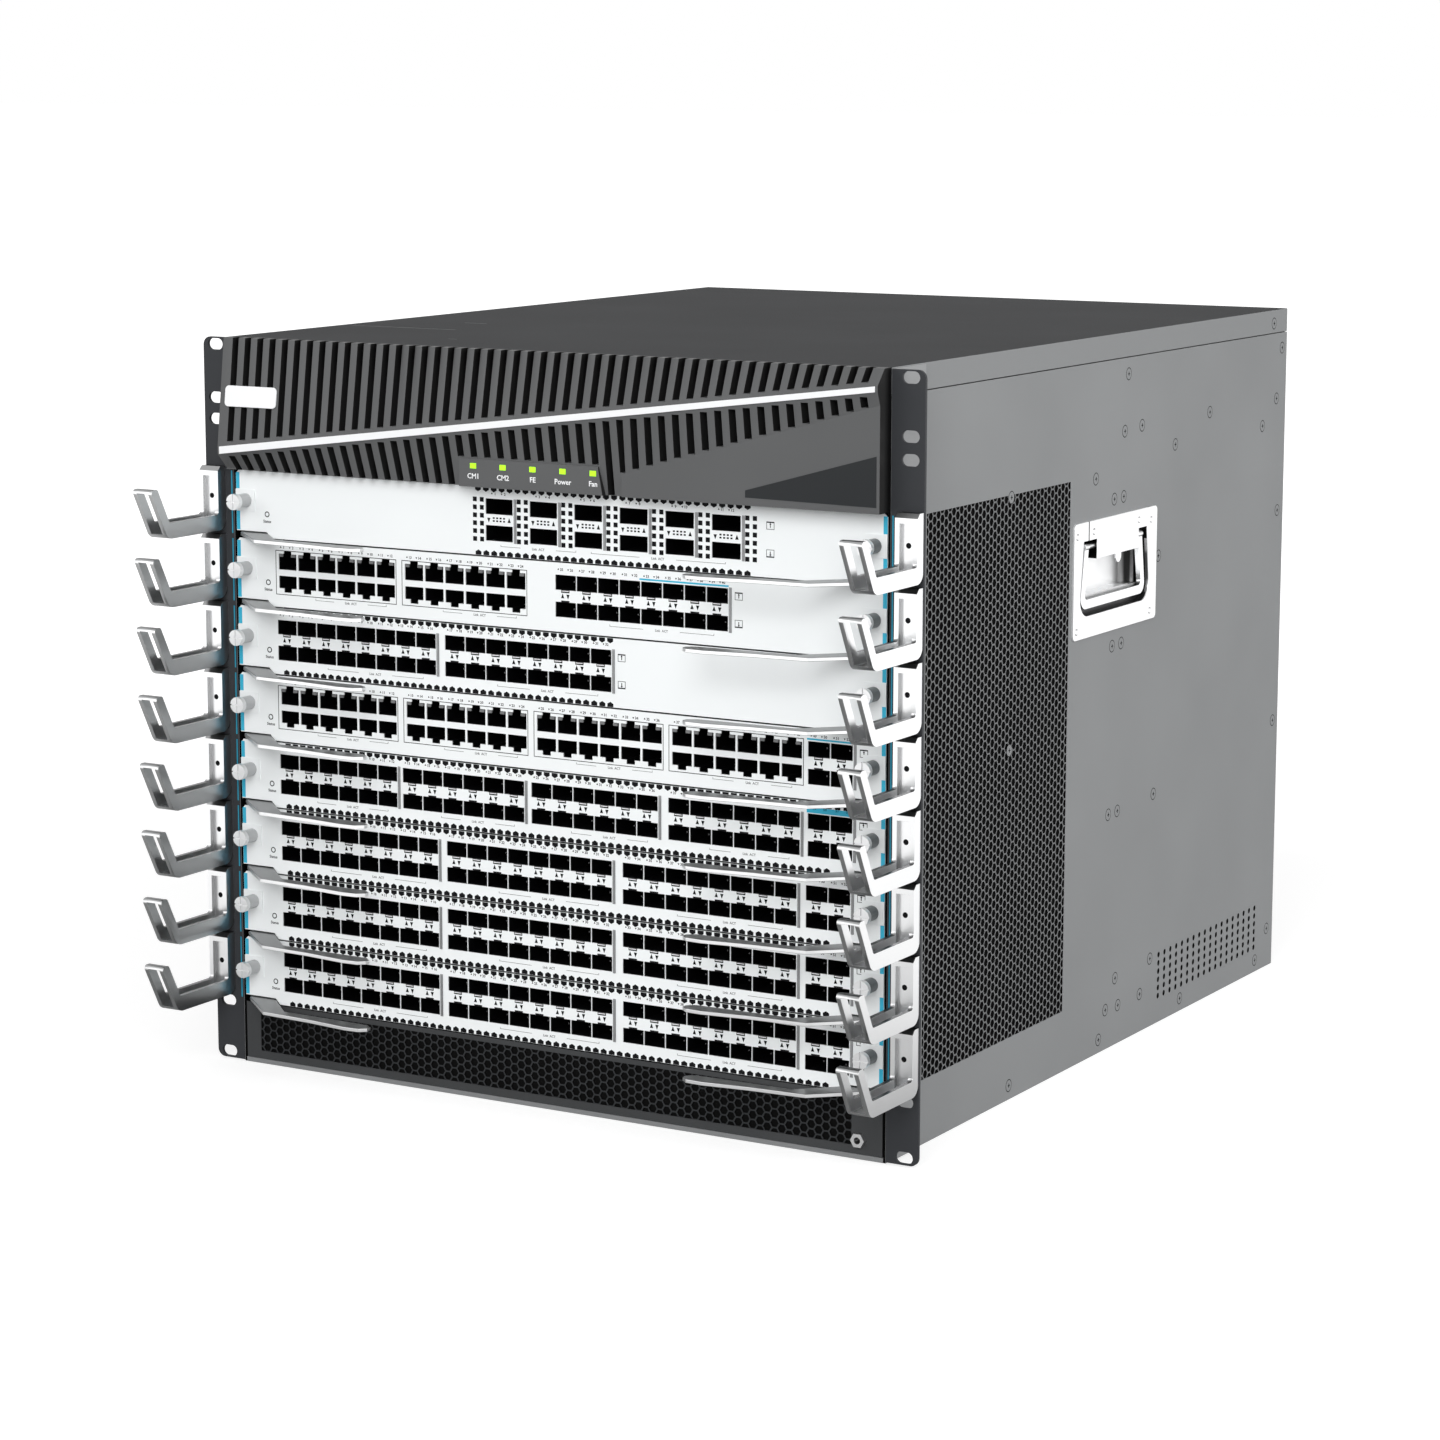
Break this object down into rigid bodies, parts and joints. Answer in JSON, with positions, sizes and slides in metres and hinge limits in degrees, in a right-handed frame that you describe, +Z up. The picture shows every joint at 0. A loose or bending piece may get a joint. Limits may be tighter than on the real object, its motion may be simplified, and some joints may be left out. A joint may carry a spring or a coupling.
{
  "type": "modular chassis switch",
  "caption": "Rack-mounted network chassis with horizontal line cards, ejector levers, cable hooks, a slatted bezel and side lifting handles.",
  "frame": {"origin": "middle of the base, under the front face of the rack ears", "axes": "+X to the right seen from the front, +Y to the back, +Z up"},
  "size_m": [0.4826, 0.6568, 0.4417],
  "materials": {
    "side_sheet": "satin light grey",
    "dark_sheet": "fine textured dark grey",
    "bezel_plastic": "fine textured grey",
    "strip_plastic": "white",
    "plate_plastic": "white",
    "lamp_plastic": "green",
    "card_metal": "satin white",
    "bright_metal": "satin plated",
    "board": "green",
    "fan_plastic": "black",
    "module_metal": "satin grey"
  },
  "bodies": {
    "chassis": {"badge_plate": "plate_plastic", "cable_hooks": "bright_metal", "card_guide_left": "side_sheet", "card_guide_right": "side_sheet", "chassis_base": "side_sheet", "front_bezel": "bezel_plastic", "ground_jack": "bright_metal", "handle_plate_left": "bright_metal", "handle_plate_right": "bright_metal", "intake_panel": "dark_sheet", "light_strip": "strip_plastic", "midplane": "board", "power_deck": "side_sheet", "rack_ear_left": "dark_sheet", "rack_ear_right": "dark_sheet", "side_panel_left": "side_sheet", "side_panel_right": "side_sheet", "status_lamps": "lamp_plastic", "top_cover": "dark_sheet"},
    "card_1": {"card_1": "card_metal", "card_1_thumbscrews": "bright_metal"},
    "card_1_lever_left": {"card_1_lever_left": "bright_metal"},
    "card_1_lever_right": {"card_1_lever_right": "bright_metal"},
    "card_2": {"card_2": "card_metal", "card_2_thumbscrews": "bright_metal"},
    "card_2_lever_left": {"card_2_lever_left": "bright_metal"},
    "card_2_lever_right": {"card_2_lever_right": "bright_metal"},
    "card_3": {"card_3": "card_metal", "card_3_thumbscrews": "bright_metal"},
    "card_3_lever_left": {"card_3_lever_left": "bright_metal"},
    "card_3_lever_right": {"card_3_lever_right": "bright_metal"},
    "card_4": {"card_4": "card_metal", "card_4_thumbscrews": "bright_metal"},
    "card_4_lever_left": {"card_4_lever_left": "bright_metal"},
    "card_4_lever_right": {"card_4_lever_right": "bright_metal"},
    "card_5": {"card_5": "card_metal", "card_5_thumbscrews": "bright_metal"},
    "card_5_lever_left": {"card_5_lever_left": "bright_metal"},
    "card_5_lever_right": {"card_5_lever_right": "bright_metal"},
    "card_6": {"card_6": "card_metal", "card_6_thumbscrews": "bright_metal"},
    "card_6_lever_left": {"card_6_lever_left": "bright_metal"},
    "card_6_lever_right": {"card_6_lever_right": "bright_metal"},
    "card_7": {"card_7": "card_metal", "card_7_thumbscrews": "bright_metal"},
    "card_7_lever_left": {"card_7_lever_left": "bright_metal"},
    "card_7_lever_right": {"card_7_lever_right": "bright_metal"},
    "card_8": {"card_8": "card_metal", "card_8_thumbscrews": "bright_metal"},
    "card_8_lever_left": {"card_8_lever_left": "bright_metal"},
    "card_8_lever_right": {"card_8_lever_right": "bright_metal"},
    "handle_bail_left": {"handle_bail_left": "bright_metal"},
    "handle_bail_right": {"handle_bail_right": "bright_metal"},
    "fan_tray": {"fan_tray": "module_metal"},
    "fan_rotor_left": {"fan_rotor_left": "fan_plastic"},
    "fan_rotor_right": {"fan_rotor_right": "fan_plastic"},
    "power_supply_1": {"power_supply_1": "module_metal"},
    "power_supply_2": {"power_supply_2": "module_metal"},
    "power_supply_3": {"power_supply_3": "module_metal"},
    "power_supply_4": {"power_supply_4": "module_metal"}
  },
  "joints": [
    {"name": "card_1_slide", "type": "slide", "parent": "chassis", "child": "card_1", "axis": [0, -1, 0], "range_m": [0, 0.27]},
    {"name": "card_1_lever_left_swing", "type": "hinge", "parent": "card_1", "child": "card_1_lever_left", "pos_m": [-0.202, 0.009, 0.3247], "axis": [0, 0, -1], "range_deg": [0, 50]},
    {"name": "card_1_lever_right_swing", "type": "hinge", "parent": "card_1", "child": "card_1_lever_right", "pos_m": [0.202, 0.009, 0.3247], "axis": [0, 0, 1], "range_deg": [0, 50]},
    {"name": "card_2_slide", "type": "slide", "parent": "chassis", "child": "card_2", "axis": [0, -1, 0], "range_m": [0, 0.27]},
    {"name": "card_2_lever_left_swing", "type": "hinge", "parent": "card_2", "child": "card_2_lever_left", "pos_m": [-0.202, 0.009, 0.28406], "axis": [0, 0, -1], "range_deg": [0, 50]},
    {"name": "card_2_lever_right_swing", "type": "hinge", "parent": "card_2", "child": "card_2_lever_right", "pos_m": [0.202, 0.009, 0.28406], "axis": [0, 0, 1], "range_deg": [0, 50]},
    {"name": "card_3_slide", "type": "slide", "parent": "chassis", "child": "card_3", "axis": [0, -1, 0], "range_m": [0, 0.27]},
    {"name": "card_3_lever_left_swing", "type": "hinge", "parent": "card_3", "child": "card_3_lever_left", "pos_m": [-0.202, 0.009, 0.24342], "axis": [0, 0, -1], "range_deg": [0, 50]},
    {"name": "card_3_lever_right_swing", "type": "hinge", "parent": "card_3", "child": "card_3_lever_right", "pos_m": [0.202, 0.009, 0.24342], "axis": [0, 0, 1], "range_deg": [0, 50]},
    {"name": "card_4_slide", "type": "slide", "parent": "chassis", "child": "card_4", "axis": [0, -1, 0], "range_m": [0, 0.27]},
    {"name": "card_4_lever_left_swing", "type": "hinge", "parent": "card_4", "child": "card_4_lever_left", "pos_m": [-0.202, 0.009, 0.20278], "axis": [0, 0, -1], "range_deg": [0, 50]},
    {"name": "card_4_lever_right_swing", "type": "hinge", "parent": "card_4", "child": "card_4_lever_right", "pos_m": [0.202, 0.009, 0.20278], "axis": [0, 0, 1], "range_deg": [0, 50]},
    {"name": "card_5_slide", "type": "slide", "parent": "chassis", "child": "card_5", "axis": [0, -1, 0], "range_m": [0, 0.27]},
    {"name": "card_5_lever_left_swing", "type": "hinge", "parent": "card_5", "child": "card_5_lever_left", "pos_m": [-0.202, 0.009, 0.16214], "axis": [0, 0, -1], "range_deg": [0, 50]},
    {"name": "card_5_lever_right_swing", "type": "hinge", "parent": "card_5", "child": "card_5_lever_right", "pos_m": [0.202, 0.009, 0.16214], "axis": [0, 0, 1], "range_deg": [0, 50]},
    {"name": "card_6_slide", "type": "slide", "parent": "chassis", "child": "card_6", "axis": [0, -1, 0], "range_m": [0, 0.27]},
    {"name": "card_6_lever_left_swing", "type": "hinge", "parent": "card_6", "child": "card_6_lever_left", "pos_m": [-0.202, 0.009, 0.1215], "axis": [0, 0, -1], "range_deg": [0, 50]},
    {"name": "card_6_lever_right_swing", "type": "hinge", "parent": "card_6", "child": "card_6_lever_right", "pos_m": [0.202, 0.009, 0.1215], "axis": [0, 0, 1], "range_deg": [0, 50]},
    {"name": "card_7_slide", "type": "slide", "parent": "chassis", "child": "card_7", "axis": [0, -1, 0], "range_m": [0, 0.27]},
    {"name": "card_7_lever_left_swing", "type": "hinge", "parent": "card_7", "child": "card_7_lever_left", "pos_m": [-0.202, 0.009, 0.08086], "axis": [0, 0, -1], "range_deg": [0, 50]},
    {"name": "card_7_lever_right_swing", "type": "hinge", "parent": "card_7", "child": "card_7_lever_right", "pos_m": [0.202, 0.009, 0.08086], "axis": [0, 0, 1], "range_deg": [0, 50]},
    {"name": "card_8_slide", "type": "slide", "parent": "chassis", "child": "card_8", "axis": [0, -1, 0], "range_m": [0, 0.27]},
    {"name": "card_8_lever_left_swing", "type": "hinge", "parent": "card_8", "child": "card_8_lever_left", "pos_m": [-0.202, 0.009, 0.04022], "axis": [0, 0, -1], "range_deg": [0, 50]},
    {"name": "card_8_lever_right_swing", "type": "hinge", "parent": "card_8", "child": "card_8_lever_right", "pos_m": [0.202, 0.009, 0.04022], "axis": [0, 0, 1], "range_deg": [0, 50]},
    {"name": "handle_bail_left_swing", "type": "hinge", "parent": "chassis", "child": "handle_bail_left", "pos_m": [-0.2194, 0.29, 0.317], "axis": [0, 1, 0], "range_deg": [0, 90]},
    {"name": "handle_bail_right_swing", "type": "hinge", "parent": "chassis", "child": "handle_bail_right", "pos_m": [0.2194, 0.29, 0.317], "axis": [0, -1, 0], "range_deg": [0, 90]},
    {"name": "fan_tray_slide", "type": "slide", "parent": "chassis", "child": "fan_tray", "axis": [0, 1, 0], "range_m": [0, 0.09]},
    {"name": "fan_rotor_left_spin", "type": "hinge", "parent": "fan_tray", "child": "fan_rotor_left", "pos_m": [-0.106, 0.53, 0.22902], "axis": [0, 1, 0], "continuous": true},
    {"name": "fan_rotor_right_spin", "type": "hinge", "parent": "fan_tray", "child": "fan_rotor_right", "pos_m": [0.106, 0.53, 0.22902], "axis": [0, 1, 0], "continuous": true},
    {"name": "power_supply_1_slide", "type": "slide", "parent": "chassis", "child": "power_supply_1", "axis": [0, 1, 0], "range_m": [0, 0.22]},
    {"name": "power_supply_2_slide", "type": "slide", "parent": "chassis", "child": "power_supply_2", "axis": [0, 1, 0], "range_m": [0, 0.22]},
    {"name": "power_supply_3_slide", "type": "slide", "parent": "chassis", "child": "power_supply_3", "axis": [0, 1, 0], "range_m": [0, 0.22]},
    {"name": "power_supply_4_slide", "type": "slide", "parent": "chassis", "child": "power_supply_4", "axis": [0, 1, 0], "range_m": [0, 0.22]}
  ]
}
